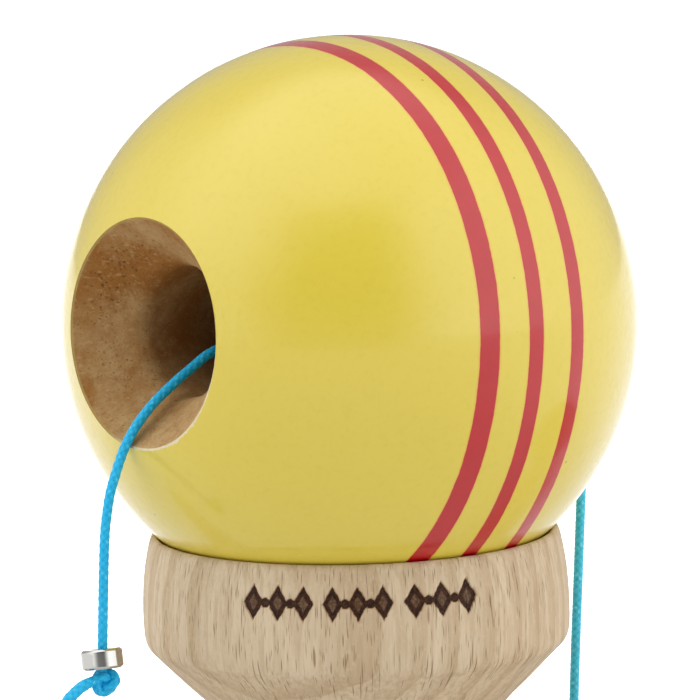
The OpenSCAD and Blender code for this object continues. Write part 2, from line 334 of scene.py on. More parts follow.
def beech(name, grain, light, dark, pore, turn=0.0, burn=False, seed=0.0, rough=0.52,
          mid=(0.0, 0.0), radius=0.022):
    """Bare turned beech. grain is "X", "Y" or "Z"."""
    n = Nodes(name)
    x, y, z = n.sep(n.co)
    p = {"Z": (x, y, z), "X": (y, z, x), "Y": (z, x, y)}[grain]
    p = n.comb(
        n.math("ADD", p[0], seed), n.math("ADD", p[1], seed * 0.7), p[2]
    )
    # the grain wanders a little
    slow = n.noise(n.vmath("MULTIPLY", p, (1, 1, 0.35)), 55, 2, 0.5, 0, True)
    p = n.vmath("ADD", p, n.vmath("MULTIPLY", n.vmath("SUBTRACT", slow, (0.5,) * 3),
                                  (0.0045, 0.0045, 0)))
    px, py, pz = n.sep(p)
    # growth layers, nearly flat, so that they show as arches on a cone
    ct, st = math.cos(turn), math.sin(turn)
    q = n.math("ADD", n.math("MULTIPLY", px, st), n.math("MULTIPLY", py, ct))
    q2 = n.math("ADD", n.math("MULTIPLY", px, ct), n.math("MULTIPLY", py, -st))
    q = n.math("ADD", q, n.math("MULTIPLY", n.math("MULTIPLY", q2, q2), 9.0))
    # each layer darkens slowly towards its late wood and ends sharply
    saw = n.math("ADD", n.math("MULTIPLY", q, 250),
                 n.noise(n.vmath("MULTIPLY", p, (1, 1, 0.25)), 70, 2, 0.5))
    saw = n.math("FRACT", n.math("ADD", saw, 40.0))
    layer = n.math("MULTIPLY", n.ramp(saw, 0.35, 0.93), n.ramp(saw, 0.94, 0.99, 1.0, 0.0))
    broad = n.noise(n.vmath("MULTIPLY", p, (1, 1, 0.3)), 120, 2)
    # fibres
    fib = n.noise(n.vmath("MULTIPLY", p, (1, 1, 0.06)), 5200, 3, 0.6)
    fib2 = n.noise(n.vmath("MULTIPLY", p, (1, 1, 0.07)), 1700, 2, 0.6)
    # pores: short dark lines along the grain, laid out round the turning axis
    a0, a1, a2 = {"Z": (x, y, z), "X": (y, z, x), "Y": (z, x, y)}[grain]
    round_ = n.math("MULTIPLY", n.math("ARCTAN2", n.math("SUBTRACT", a0, mid[0]),
                                       n.math("SUBTRACT", a1, mid[1])), radius)
    round_ = n.math("ADD", round_, n.math("MULTIPLY", n.math(
        "SUBTRACT", n.noise(n.vmath("MULTIPLY", n.co, (1, 1, 1)), 130, 2), 0.5), 0.0006))
    pores = None
    for sc, st_, w0, w1, lo_, off in ((3100, 0.05, 0.07, 0.3, 0.60, 0.0),
                                      (2000, 0.044, 0.05, 0.22, 0.66, 0.31),
                                      (4700, 0.075, 0.1, 0.34, 0.55, 0.53),
                                      (420, 0.12, 0.035, 0.075, 0.7, 0.7)):
        at2 = n.comb(n.math("ADD", round_, off), n.math("MULTIPLY", a2, st_), 0.0)
        d, vcol = n.voronoi(at2, sc, flat=True)
        keep, size, _ = n.sep(vcol)
        d = n.math("ADD", d, n.math("MULTIPLY", size, w1 * 0.55))
        one = n.math("MULTIPLY", n.ramp(d, w0, w1, 1.0, 0.0),
                     n.ramp(keep, lo_, lo_ + 0.1))
        pores = one if pores is None else n.math("MAXIMUM", pores, one)
    patch = n.ramp(n.noise(n.vmath("MULTIPLY", p, (1, 1, 0.4)), 190, 2), 0.3, 0.65,
                   0.5, 1.0)
    pores = n.math("MULTIPLY", pores, patch)
    col = n.mix(n.math("MULTIPLY", layer, 0.45), light, dark)
    col = n.mix(n.ramp(broad, 0.35, 0.7, 0.0, 0.25), col, dark)
    col = n.mix(n.ramp(fib2, 0.42, 0.66, 0.0, 0.38), col, dark)
    col = n.mix(n.ramp(fib, 0.35, 0.75, 0.0, 0.25), col, dark)
    pebble = n.noise(n.vmath("MULTIPLY", n.co, (1, 1, 0.8)), 2300, 2, 0.6)
    # painted highlight: the peaks of the raised-grain bumps are lightened
    col = n.mix(n.ramp(pebble, 0.55, 0.72, 0.0, 0.34), col, light)
    col = n.mix(n.math("MULTIPLY", pores, 0.72), col, pore)
    h = n.math("SUBTRACT", n.math("MULTIPLY", fib, 0.3), n.math("MULTIPLY", pores, 0.9))
    h = n.math("ADD", h, n.math("MULTIPLY", pebble, 0.75))
    if burn:
        b = n.attr("burn")
        speck = n.noise(n.co, 3500, 3, 0.6)
        edge = n.math("ADD", b, n.math("MULTIPLY", n.math("SUBTRACT", speck, 0.5), 0.35))
        col = n.mix(n.ramp(edge, 0.04, 0.4, 0.0, 0.6), col, lin(140, 88, 40))
        col = n.mix(n.ramp(edge, 0.4, 0.8), col, n.mix(n.ramp(speck, 0.35, 0.7),
                                                      lin(34, 15, 4), lin(74, 38, 12)))
        h = n.math("ADD", h, n.math("MULTIPLY", n.math("MULTIPLY", b, speck), 0.8))
    n.set(Base_Color=col, Roughness=n.ramp(layer, 0, 1, rough, rough + 0.1))
    n.bsdf.inputs["Specular IOR Level"].default_value = 0.22
    n.put(n.bsdf.inputs["Normal"], n.bump(h, 0.00007, 0.85))
    return n.mat


# ---------------------------------------------------------------- materials ----
CB = np.array([0, 0, 91.85])
HOLE = np.array([-0.764177, -0.641221, 0.069756])
HOLE /= np.linalg.norm(HOLE)
STRIPE = np.array([-0.75715, -0.65113, 0.06106])
STRIPE /= np.linalg.norm(STRIPE)

WOOD_L, WOOD_D, PORE = lin(216, 196, 166), lin(174, 146, 110), lin(116, 76, 36)
wood_cross = beech("beech_cross", "Z", WOOD_L, WOOD_D, PORE, 0.25, True, 0.013)
wood_ken = beech("beech_ken", "X", lin(216, 195, 164), lin(178, 150, 116),
                 lin(110, 78, 46), 0.9, False, 0.041,
                 mid=(0.0, 0.036), radius=0.0085)


def lacquer():
    n = Nodes("lacquer")
    c = n.vmath("SUBTRACT", n.co, tuple(CB * MM))
    s = n.vmath("DOT_PRODUCT", c, tuple(STRIPE))
    wob = n.noise(n.co, 900, 2, 0.6)
    wob2 = n.noise(n.co, 90, 1, 0.5)
    s = n.math("ADD", s, n.math("MULTIPLY", n.math("SUBTRACT", wob, 0.5), 0.00012))
    s = n.math("ADD", s, n.math("MULTIPLY", n.math("SUBTRACT", wob2, 0.5), 0.00016))
    red = fringe = None
    for a, b in ((0.00551, 0.00773), (0.00005, 0.00192), (-0.00596, -0.00398)):
        mid, half = (a + b) / 2, (b - a) / 2
        d = n.math("ABSOLUTE", n.math("SUBTRACT", s, mid))
        one = n.ramp(d, half - 0.00005, half + 0.00005, 1.0, 0.0)
        two = n.ramp(d, half + 0.00004, half + 0.00026, 1.0, 0.0)
        red = one if red is None else n.math("MAXIMUM", red, one)
        fringe = two if fringe is None else n.math("MAXIMUM", fringe, two)
    slow = n.noise(n.co, 45, 2, 0.5)
    fine = n.noise(n.co, 1300, 2, 0.6)
    yel = n.mix(slow, lin(218, 195, 62), lin(223, 202, 76))
    yel = n.mix(n.ramp(fine, 0.45, 0.8, 0, 0.22), yel, lin(207, 181, 44))
    redc = n.mix(n.noise(n.co, 700, 3, 0.6), lin(192, 4, 16), lin(174, 2, 12))
    col = n.mix(n.math("MULTIPLY", fringe, 0.45), yel, lin(226, 150, 70))
    col = n.mix(red, col, redc)
    # dust specks caught in the finish
    d, vc = n.voronoi(n.co, 210)
    keep = n.ramp(n.sep(vc)[0], 0.5, 0.52)
    speck = n.math("MULTIPLY", n.ramp(d, 0.02, 0.04, 1, 0), keep)
    d2, vc2 = n.voronoi(n.vmath("ADD", n.co, (0.31, 0.17, 0.05)), 95)
    keep2 = n.ramp(n.sep(vc2)[0], 0.55, 0.57)
    nub = n.math("MULTIPLY", n.ramp(d2, 0.012, 0.035, 1, 0), keep2)
    col = n.mix(n.math("MULTIPLY", speck, 0.6), col, lin(120, 92, 20))
    # raised grain under the lacquer, orange peel on it
    grain = n.noise(n.vmath("MULTIPLY", n.co, (1, 1, 0.5)), 1500, 3, 0.55)
    peel = n.noise(n.co, 420, 2, 0.5)
    h = n.math("ADD", n.math("MULTIPLY", grain, 0.5), n.math("MULTIPLY", peel, 0.7))
    # the grain stands proud round the hole, mostly behind its rim
    hd_ = n.vmath("LENGTH", n.vmath("SUBTRACT", c, tuple(np.array(
        [-0.0172, -0.0235, 0.0042]))))
    lump = n.noise(n.vmath("MULTIPLY", n.co, (1, 1, 0.55)), 950, 3, 0.6)
    h = n.math("ADD", h, n.math("MULTIPLY", n.math("MULTIPLY", lump, n.ramp(
        hd_, 0.0035, 0.0115, 1.0, 0.0)), 4.5))
    h = n.math("ADD", h, n.math("MULTIPLY", nub, 1.2))
    h = n.math("ADD", h, n.math("MULTIPLY", red, 0.35))
    n.set(Base_Color=col, Roughness=n.ramp(fine, 0.3, 0.7, 0.3, 0.4))
    n.bsdf.inputs["Specular IOR Level"].default_value = 0.3
    n.bsdf.inputs["Coat Weight"].default_value = 0.9
    n.bsdf.inputs["Coat IOR"].default_value = 1.5
    n.bsdf.inputs["Coat Roughness"].default_value = 0.12
    n.put(n.bsdf.inputs["Normal"], n.bump(h, 0.00002, 0.8))
    n.put(n.bsdf.inputs["Coat Normal"], n.bump(h, 0.00003, 0.9))
    return n.mat


def primer():
    n = Nodes("primer_edge")
    f = n.noise(n.co, 2600, 3, 0.7)
    lit_lower_side = n.vmath("DOT_PRODUCT", n.vmath("SUBTRACT", n.co, tuple(CB * MM)),
                  (0.45, -0.45, -0.77))
    col = n.mix(f, lin(176, 148, 78), lin(150, 118, 60))
    # painted highlight: the ledge is paler on its lower side, which faces the light above
    col = n.mix(n.ramp(lit_lower_side, 0.001, 0.007), col, n.mix(f, lin(236, 228, 200),
                                                     lin(200, 180, 130)))
    n.set(Base_Color=col, Roughness=0.75)
    n.put(n.bsdf.inputs["Normal"], n.bump(f, 0.00008, 0.9))
    return n.mat


def rough_wood():
    """The drilled wood in the ball: torn end grain, stained and unfinished, with painted
    shade deeper in the bore and painted light on its lower side.
    """
    n = Nodes("bore_wood")
    x, y, z = n.sep(n.co)
    slow = n.noise(n.co, 150, 3, 0.6)
    mid = n.noise(n.co, 800, 3, 0.7)
    fine = n.noise(n.co, 4200, 3, 0.7)
    dvec = n.vmath("SUBTRACT", n.co, tuple(CB * MM))
    deep = n.vmath("DOT_PRODUCT", dvec, tuple(HOLE))
    side = n.vmath("DOT_PRODUCT", dvec, (0.45, -0.45, -0.77))
    along = n.noise(n.vmath("MULTIPLY", n.co, (0.5, 0.8, 1.0)), 2600, 3, 0.65)
    tear = n.attr("tear")
    col = n.mix(n.ramp(slow, 0.36, 0.66), lin(150, 100, 44), lin(176, 142, 94))
    # painted light: paler on the lower side, which faces the light above
    col = n.mix(n.ramp(side, -0.002, 0.009, 0, 0.65), col, lin(206, 176, 126))
    col = n.mix(n.ramp(mid, 0.42, 0.72, 0, 0.45), col, lin(142, 92, 42))
    col = n.mix(n.ramp(along, 0.52, 0.74, 0, 0.4), col, lin(200, 166, 120))
    col = n.mix(n.ramp(fine, 0.54, 0.7, 0, 0.4), col, lin(104, 64, 28))
    d, vc = n.voronoi(n.vmath("MULTIPLY", n.co, (0.8, 1.0, 1.1)), 2200)
    dot = n.math("MULTIPLY", n.ramp(d, 0.1, 0.25, 1, 0), n.ramp(n.sep(vc)[1], 0.6, 0.7))
    col = n.mix(n.math("MULTIPLY", dot, 0.4), col, lin(70, 40, 18))
    # painted shade in the torn pits and painted highlight on the torn ridges, following the
    # relief
    col = n.mix(n.ramp(tear, 0.0, 0.8, 0, 0.55), col, lin(84, 52, 24))
    col = n.mix(n.ramp(tear, -0.05, -0.5, 0, 0.4), col, lin(196, 160, 110))
    # painted shade in the drilled wall: darker the further in it goes
    col = n.mix(n.ramp(deep, 0.0222, 0.0, 0.0, 0.82), col, lin(64, 24, 4))
    h = n.math("ADD", n.math("MULTIPLY", mid, 0.7), n.math("MULTIPLY", fine, 0.5))
    h = n.math("SUBTRACT", h, n.math("MULTIPLY", dot, 0.4))
    n.set(Base_Color=col, Roughness=0.82)
    n.bsdf.inputs["Specular IOR Level"].default_value = 0.2
    n.put(n.bsdf.inputs["Normal"], n.bump(h, 0.00013, 0.8))
    return n.mat


def nylon(name, base, light, dark):
    n = Nodes(name)
    h = n.attr("ply")
    yarn_glint = n.attr("yarn_glint")
    f = n.noise(n.co, 5200, 2, 0.6)
    slow = n.noise(n.co, 260, 2, 0.5)
    # painted shade: darker in the gaps between the strands
    col = n.mix(n.ramp(h, 0.05, 0.6), dark, base)
    # painted highlight on the crowns of the strands, stronger on some yarns
    col = n.mix(n.math("MULTIPLY", n.ramp(h, 0.72, 1.0), n.ramp(yarn_glint, 0.2, 1.0, 0.0, 0.8)),
                col, light)
    col = n.mix(n.ramp(f, 0.5, 0.8, 0, 0.25), col, light)
    col = n.mix(n.ramp(slow, 0.4, 0.7, 0, 0.18), col, dark)
    n.set(Base_Color=col, Roughness=n.ramp(f, 0.3, 0.7, 0.42, 0.58))
    n.bsdf.inputs["Specular IOR Level"].default_value = 0.4
    n.bsdf.inputs["Sheen Weight"].default_value = 0.05
    n.bsdf.inputs["Sheen Roughness"].default_value = 0.4
    n.put(n.bsdf.inputs["Normal"], n.bump(f, 0.00003, 0.7))
    return n.mat


def steel():
    n = Nodes("steel")
    x, y, z = n.sep(n.co)
    f = n.noise(n.vmath("MULTIPLY", n.co, (1, 1, 9)), 900, 3, 0.6)
    g = n.noise(n.co, 1500, 2, 0.5)
    n.set(Base_Color=n.mix(f, lin(188, 187, 182), lin(198, 197, 193)),
          Roughness=n.ramp(g, 0.3, 0.7, 0.06, 0.12))
    n.bsdf.inputs["Metallic"].default_value = 1.0
    n.put(n.bsdf.inputs["Normal"], n.bump(f, 0.0000015, 0.6))
    return n.mat


m_lacquer, m_primer, m_bore = lacquer(), primer(), rough_wood()
m_string = nylon("string_blue", lin(6, 184, 236), lin(96, 222, 250), lin(2, 150, 204))
# a paler copy of the string's material, for the stretches behind the piece: painted light
# that brightens them where they lie in shade
m_string_painted_lit = nylon("string_blue_painted_lit", lin(70, 206, 236), lin(150, 232, 246),
                      lin(30, 168, 206))
m_steel = steel()

# ------------------------------------------------------------------ string ----


def frames_along(line):
    t = np.gradient(line, axis=0)
    t /= np.linalg.norm(t, axis=1)[:, None]
    side = np.array([0, 0, 1.0]) if abs(t[0][2]) < 0.9 else np.array([1.0, 0, 0])
    u = np.zeros_like(line)
    u[0] = side - (side @ t[0]) * t[0]
    u[0] /= np.linalg.norm(u[0])
    for i in range(1, len(line)):
        v = u[i - 1] - (u[i - 1] @ t[i]) * t[i]
        u[i] = v / np.linalg.norm(v)
    return t, u, np.cross(t, u)


def braid(name, line, d, sides=24, step=0.08, s0=0.0, cap0=False, cap1=False,
          lump=0.0, seed=3, width=None, mat=None):
    """A tube woven of eight strands, four each way, over and under."""
    line, s = even(line, step)
    t, u, v = frames_along(line)
    n = len(line)
    th = 2 * math.pi * np.arange(sides) / sides
    S = (s + s0)[:, None] + np.zeros(sides)
    T = th[None, :] + np.zeros((n, 1))
    K, lam = 4, 0.92
    irr = 0.05 * np.sin(S * 2.3 + 1.0) + 0.04 * np.sin(S * 0.71 + 2 * T)
    a = K * T / (2 * math.pi) + S / lam + irr
    b = K * T / (2 * math.pi) - S / lam - irr
    ra, rb = np.round(a), np.round(b)
    fa, fb = a - ra, b - rb
    over = ((ra + rb) % 2) == 0
    fx, fl = np.where(over, fa, fb), np.where(over, fb, fa)
    h = np.cos(math.pi * fx) ** 0.75 * np.cos(math.pi * fl) ** 0.3
    # six fibre bundles on each strand
    h = h + 0.05 * np.cos(2 * math.pi * 5 * fx) * h
    h = np.clip(h, 0, 1)
    yarn = np.where(over, ra % K, (rb % K) + 4).astype(int)
    # how strongly each yarn's crowns get the painted highlight in nylon()
    yarn_glint = np.random.default_rng(seed).uniform(0, 1, 16)[yarn]
    yarn_glint = np.clip(yarn_glint + 0.35 * np.sin(S * 3.7 + T * 2), 0, 1)
    R = d * 1.07 / 2 * (1.0 - 0.17 * (1 - h))
    if lump:
        R = R * (1 + lump * np.sin(S * 1.9 + 0.7) * np.cos(T * 2 + S * 0.6))
    if width is not None:
        R = R * np.interp(s, *width)[:, None]
    for end, on in ((0, cap0), (1, cap1)):
        if on:
            x = (s if end == 0 else s[-1] - s) / (d * 0.42)
            k = np.where(x < 1, np.sqrt(np.clip(1 - (1 - x) ** 2, 0.02, 1)), 1)
            R = R * k[:, None]
    P = line[:, None, :] + R[..., None] * (
        np.cos(T)[..., None] * u[:, None, :] + np.sin(T)[..., None] * v[:, None, :]
    )
    P = P.reshape(-1, 3)
    idx = np.arange(n * sides).reshape(n, sides)
    a_, b_ = idx[:-1], idx[1:]
    f = np.stack(
        [a_, np.roll(a_, -1, 1), np.roll(b_, -1, 1), b_], -1
    ).reshape(-1, 4).tolist()
    P = np.vstack([P, line[:1], line[-1:]])
    c0, c1 = n * sides, n * sides + 1
    f += [[c0, idx[0][(j + 1) % sides], idx[0][j]] for j in range(sides)]
    f += [[c1, idx[-1][j], idx[-1][(j + 1) % sides]] for j in range(sides)]
    f = [[int(k) for k in q] for q in f]
    o = make(
        name, P * MM, f, [mat or m_string], None,
        {"ply": np.append(h.ravel(), [0.5, 0.5]), "yarn_glint": np.append(yarn_glint.ravel(), [0, 0])},
    )
    return o, line


route_ken = [
    [0, -3.6, 36], [0, 0, 36], [0, 6, 36], [0, 12.6, 36], [0.1, 14, 35.8],
    [0.4, 15.3, 34.9], [0.9, 16.2, 33.2], [2, 17.1, 30], [3.8, 18.2, 26],
    [6, 19.5, 21.5], [8.4, 20.9, 17], [11, 22.3, 12.5], [13.6, 23.6, 8.4],
    [16.2, 24.6, 5], [19, 25.2, 2.6], [22, 25.5, 1.2], [25, 25.6, 0.6],
    [29, 25.6, 0.52], [32.9, 25.6, 0.52]]
route_fall = [
    [26.4, 18.5, 1.6], [26.3, 19.6, 1.9], [25.9, 20.7, 2.8],
    [25.2, 21.5, 4.4], [24.5, 21.9, 6.6], [23.9, 22, 9.5], [23.4, 21.9, 14],
    [23, 21.7, 20], [22.8, 21.5, 27], [22.9, 21.4, 35], [23.1, 21.3, 43],
    [23.5, 21.3, 52], [24, 21.3, 61], [24.5, 21.3, 70], [25, 21.3, 78],
    [25.3, 21.3, 84], [25.4, 21.3, 86.6], [25.1, 21.05, 88.3],
    [24.5, 20.55, 89.3], [23.7, 19.9, 89.75], [23, 19.3, 89.8]]
route_in = [
    [23, 19.3, 89.8], [15.4, 12.9, 90.4], [7.6, 6.4, 91], [0, 0, 91.6],
    [-6, -5.3, 91.9], [-10.4, -9.2, 91.7], [-13, -11.3, 91.25],
    [-14.6, -12.45, 90.7], [-16, -13.25, 89.7], [-17.5, -14.1, 88.6],
    [-18.85, -14.85, 87.5], [-20.1, -15.6, 86.4], [-21.1, -16.15, 85.3],
    [-22, -16.65, 84.15], [-22.75, -17.1, 82.95], [-23.1, -17.3, 82.3]]
route_hang = [
    [-23.4, -17.55, 81.65], [-23.85, -17.95, 80.5], [-24.25, -18.3, 79.3],
    [-24.65, -18.6, 78.1], [-24.95, -18.9, 76.8], [-25.15, -19.05, 75.6],
    [-25.35, -19.2, 74.2], [-25.5, -19.3, 72.5], [-26.1, -19.9, 59.5]]
route_tail = [
    [-26.6, -20.3, 58.4], [-27.6, -21.1, 58.3], [-28.4, -21.7, 58],
    [-29.2, -22.4, 57.4], [-29.9, -23, 56.6], [-30.4, -23.5, 55.5],
    [-30.8, -23.8, 54.2], [-31, -24, 52.8], [-31.1, -24.1, 51.4]]

# the coil: two turns on the floor, then nearly two more on top of them
coil = []
for i in range(0, 136):
    k = i / 135 * 3.75
    a = math.radians(90 - 360 * k)
    if k <= 2.0:
        r, z = 7.1 - 1.06 * k, 0.52
    elif k <= 2.35:
        w = (k - 2.0) / 0.35
        w = w * w * (3 - 2 * w)
        r, z = 4.98 - 0.08 * w, 0.52 + 1.02 * w
    else:
        r, z = 4.9 + 1.6 * (k - 2.35) / 1.4, 1.54 + 0.06 * (k - 2.35) / 1.4
    coil.append([33 + r * math.cos(a), 18.5 + r * math.sin(a), z])
line_a = smooth(route_ken + coil[1:], 0.4)
line_b = smooth(route_fall, 0.4)
line_c = smooth(route_in + route_hang, 0.4)
string_a, path_a = braid("string_back", line_a, 1.0, 20, 0.1, mat=m_string_painted_lit)
sa = length_of(path_a)
string_b, path_b = braid("string_rise", line_b, 1.0, 24, 0.08, s0=sa, mat=m_string_painted_lit)
sb = sa + length_of(path_b)
string_c, path_c = braid("string_front", line_c, 1.0, 24, 0.08, s0=sb)
sc = sb + length_of(path_c)
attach(string_a, "ken_and_cross")
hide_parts("string_ken_side", "string_coil")
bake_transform(string_b)
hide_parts("string_fall")
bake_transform(string_c)
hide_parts("string_in_tama", "string_hang")

# overhand knot: the string comes down behind, goes twice round and leaves to the left
KN = np.array([-26.1, -19.88, 58.35])
R_, A_, B_, ROT = 0.74, 0.3, 0.42, math.radians(151)


def knot_points(c, right, up, front, r_=R_, a_=A_, b_=B_, sx=1.2, dx=0.16):
    def at(x, y, d):
        return (c + np.array(right) * x + np.array(up) * y + np.array(front) * d).tolist()

    pts = [at(0.02, 1.35, 0.02), at(-0.12, 1.0, -0.15), at(-0.42, 0.62, -0.36)]
    for t in np.arange(0.42, 2 * math.pi - 0.85, 0.3):
        a = ROT + 2 * t
        rho = r_ + a_ * math.cos(3 * t)
        pts.append(at(sx * rho * math.cos(a) + dx, rho * math.sin(a), -b_ * math.sin(3 * t)))
    pts += [at(0.1, 0.62, 0.5), at(-0.45, 0.5, 0.66), at(-1.0, 0.22, 0.86)]
    return pts


knot_line = smooth(
    knot_points(KN, (1, 0, 0), (0, 0, 1), (0, -1, 0)), 0.12)
tail_line = smooth(
    [knot_line[-2].tolist(), [-27.5, -20.95, 58.45], [-28.3, -21.6, 58.1]]
    + route_tail[3:], 0.2)
knot, _ = braid("knot_end", knot_line, 0.98, 24, 0.07, s0=sc, lump=0.04)
tail, _ = braid("tail_end", tail_line, 1.0, 24, 0.08, s0=sc + 16, cap1=True,
                lump=0.03, width=([0, 1.2, 5, 12], [1.0, 1.16, 1.16, 1.08]))
for o, node in ((knot, "end_knot"), (tail, "string_tail")):
    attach(o, "string_end")
    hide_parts(node)

kk = np.array([0.0, -4.9, 36.0])
kl = smooth(
    [[0, -2.9, 36]]
    + [
        (kk + np.array(v)).tolist()
        for v in [
            (0.0, 0.9, 0.1), (0.7, 0.2, 0.55), (0.5, -0.7, 0.9), (-0.4, -1.2, 0.5),
            (-0.9, -0.9, -0.4), (-0.3, -0.2, -0.9), (0.6, 0.0, -0.6), (0.9, -0.5, 0.1),
            (0.2, -1.1, -0.2), (-0.4, -1.6, -0.5),
        ]
    ], 0.12)
ken_knot, _ = braid("knot_ken", kl, 0.9, 16, 0.1, s0=-12, cap1=True)
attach(ken_knot, "ken_and_cross")
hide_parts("ken_knot")

# -------------------------------------------------------------------- bead ----


def rot(axis, deg):
    return np.array(Matrix.Rotation(math.radians(deg), 3, axis))


bead_m = rot("Y", -5) @ rot("X", -8.5)


def ring_profile(ri, ro, h, c, k=4):
    """A ring's section with soft chamfers, going out, up, in and down."""
    raw = [(ri, -h + c), (ri + c, -h), (ro - c, -h), (ro, -h + c), (ro, h - c),
           (ro - c, h), (ri + c, h), (ri, h - c)]
    raw = np.array(raw)
    out = []
    for i in range(len(raw)):
        a, b, d = raw[i - 1], raw[i], raw[(i + 1) % len(raw)]
        rr = 0.055
        p0 = b + (a - b) / np.linalg.norm(a - b) * rr
        p1 = b + (d - b) / np.linalg.norm(d - b) * rr
        for j in range(k + 1):
            t = j / k
            out.append((1 - t) ** 2 * p0 + 2 * t * (1 - t) * b + t * t * p1)
    return np.array(out)


prof = ring_profile(0.85, 2.125, 1.025, 0.22)
full = []
for i in range(len(prof)):
    a, b = prof[i], prof[(i + 1) % len(prof)]
    nn = max(1, int(np.linalg.norm(b - a) / 0.12))
    for j in range(nn):
        full.append(a + (b - a) * j / nn)
bead = lathe(
    "end_bead", full, np.linspace(0, 2 * math.pi, 128, endpoint=False),
    (bead_m[:, 0], bead_m[:, 1], bead_m[:, 2]), (-26.05, -19.84, 60.72),
    [m_steel], closed=True,
    move=lambda p, a, r, h, i: (0.0015 * waves(p, 1.6, 5), {}),
)
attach(bead, "bead")
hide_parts("end_bead")

# ---------------------------------------------------------------- cross piece ----
big_r, small_r, waist_r, CH = 22.35, 20.0, 12.6, 70.0


def cap_r(o, d):
    return (o * o + d * d) / (2 * d)


so, bo = small_r - 1.8, big_r - 1.75
sc_, bc_ = cap_r(so, 10.7), cap_r(bo, 13.75)
sca, bca = math.degrees(math.asin(so / sc_)), math.degrees(math.asin(bo / bc_))
run1 = arc((0, 11 - sc_), sc_, 90, 90 - sca, 34)
run2 = [(so, 0.3), (so + 0.08, 0.12), (small_r - 1.5, 0.01), (small_r - 1.2, 0.0),
        (small_r - 0.95, 0.01), (small_r - 0.6, 0.17), (small_r - 0.45, 0.7),
        (small_r - 0.2, 2.5), (small_r - 0.05, 4.6), (small_r, 6.6),
        (small_r - 0.05, 8.4), (small_r - 0.2, 9.9), (small_r - 0.6, 10.8),
        (small_r - 1.3, 11.6), (small_r - 3.1, 13.5), (small_r - 4.9, 15.4),
        (small_r - 6, 16.9), (waist_r + 0.6, 19), (waist_r + 0.15, 21.6),
        (waist_r, 25), (waist_r, 31), (waist_r, 37), (waist_r, CH - 27),
        (waist_r + 0.1, CH - 24.8), (waist_r + 0.5, CH - 22.6),
        (waist_r + 1.3, CH - 20.9), (big_r - 6.7, CH - 18),
        (big_r - 3.9, CH - 15.15), (big_r - 1.1, CH - 12.3), (big_r - 0.45, CH - 11.6),
        (big_r - 0.15, CH - 10.9), (big_r, CH - 8.6), (big_r - 0.05, CH - 6.4),
        (big_r - 0.2, CH - 4.4), (big_r - 0.5, CH - 2.4), (big_r - 0.9, CH - 0.6),
        (big_r - 1.05, CH - 0.2), (big_r - 1.3, CH - 0.02), (big_r - 1.45, CH),
        (big_r - 1.6, CH - 0.03), (bo, CH - 0.25)]
run3 = arc((0, CH - 14 + bc_), bc_, -90 + bca, -90, 36)
body = smooth(run2, 0.75)
fine = []
for i in range(len(body) - 1):
    a, b = body[i], body[i + 1]
    k = 4 if 61.8 < a[1] < 69.2 and a[0] > 20 else 1
    fine += [a + (b - a) * j / k for j in range(k)]
fine.append(body[-1])
prof_s = np.vstack([run1[:-1], fine, run3[1:]])
prof_s[0, 0] = prof_s[-1, 0] = 0.0
front = np.radians(np.arange(-40, 40, 0.33))
back = np.radians(np.linspace(40, 320, 190, endpoint=False))
ang_s = np.concatenate([front, back])

# generic burned row: three groups of lozenges with dots between them
marks = []
for mid, w in ((-21.4, 1.0), (0.4, 0.95), (23.4, 1.06)):
    c = math.radians(mid) * 22.1
    for k in (-2.75, 0.0, 2.75):
        marks.append(("lozenge", c + k * w, 66.15, 1.12 * w, 1.8))
    for k in (-1.38, 1.38):
        marks.append(("dot", c + k * w, 66.15, 0.5, 0.5))


def cross_move(p, ang, r, h, i):
    a = (ang + math.pi) % (2 * math.pi) - math.pi
    x = a * 22.1
    burn = np.zeros(len(p))
    side = (h > 60) & (h < 69.5) & (r > 20.9)
    for kind, mx, mz, w, hh in marks:
        if kind == "lozenge":
            d = 1 - (np.abs(x - mx) / w + np.abs(h - mz) / hh)
            d = d + 0.05 * waves(np.stack([x, h, x * 0 + mx], 1), 0.7, 61)
            f = np.clip(d / 0.16 + 0.5, 0, 1)
            # the iron burned the edge of each lozenge darker than its middle
            g = np.clip((d - 0.34) / 0.2, 0, 1)
            f = f * (1 - 0.32 * g)
        else:
            d = w - np.hypot(x - mx, h - mz)
            f = np.clip(d / 0.14 + 0.5, 0, 1)
        burn = np.maximum(burn, f)
    burn = burn * side
    near = np.abs(a) < 0.75
    wob = 0.03 * waves(p, 9, 11) + 0.008 * waves(p * np.array([1, 1, 0.15]), 1.4, 12)
    ring = 0.006 * np.sin(h * 5.3) + 0.004 * np.sin(h * 11.7 + 1)
    # small knocks along the two rims
    rim = np.exp(-((h - 70) ** 2) / 0.5) + np.exp(-(h**2) / 0.5)
    knock = np.clip(waves(p, 5, 13) - 1.0, 0, 1) * 0.25 * rim
    rest = (h > 69.6) | (h < 0.4)
    off = -0.2 * burn + (wob + ring) * np.where(rest, 0.2, 1.0) - knock
    off[(h < 0.3)] = np.minimum(off[(h < 0.3)], 0)
    off[(h > 69.5) & (r < 21)] = np.minimum(off[(h > 69.5) & (r < 21)], 0)
    return off, {"burn": burn * near}


cross = lathe("cross_piece", prof_s, ang_s, ((0, -1, 0), (1, 0, 0), (0, 0, 1)),
              (0, 0, 0), [wood_cross], move=cross_move)


def cone_tool(name, axis_from, axis_dir, pts, cols=96):
    e = np.array(axis_dir, float)
    s = np.array([0, 0, 1.0]) if abs(e[2]) < 0.9 else np.array([1.0, 0, 0])
    a = np.cross(s, e)
    a /= np.linalg.norm(a)
    return lathe(name, [(0, pts[0][1])] + list(pts) + [(0, pts[-1][1])],
                 np.linspace(0, 2 * math.pi, cols, endpoint=False),
                 (a, np.cross(e, a), e), axis_from)


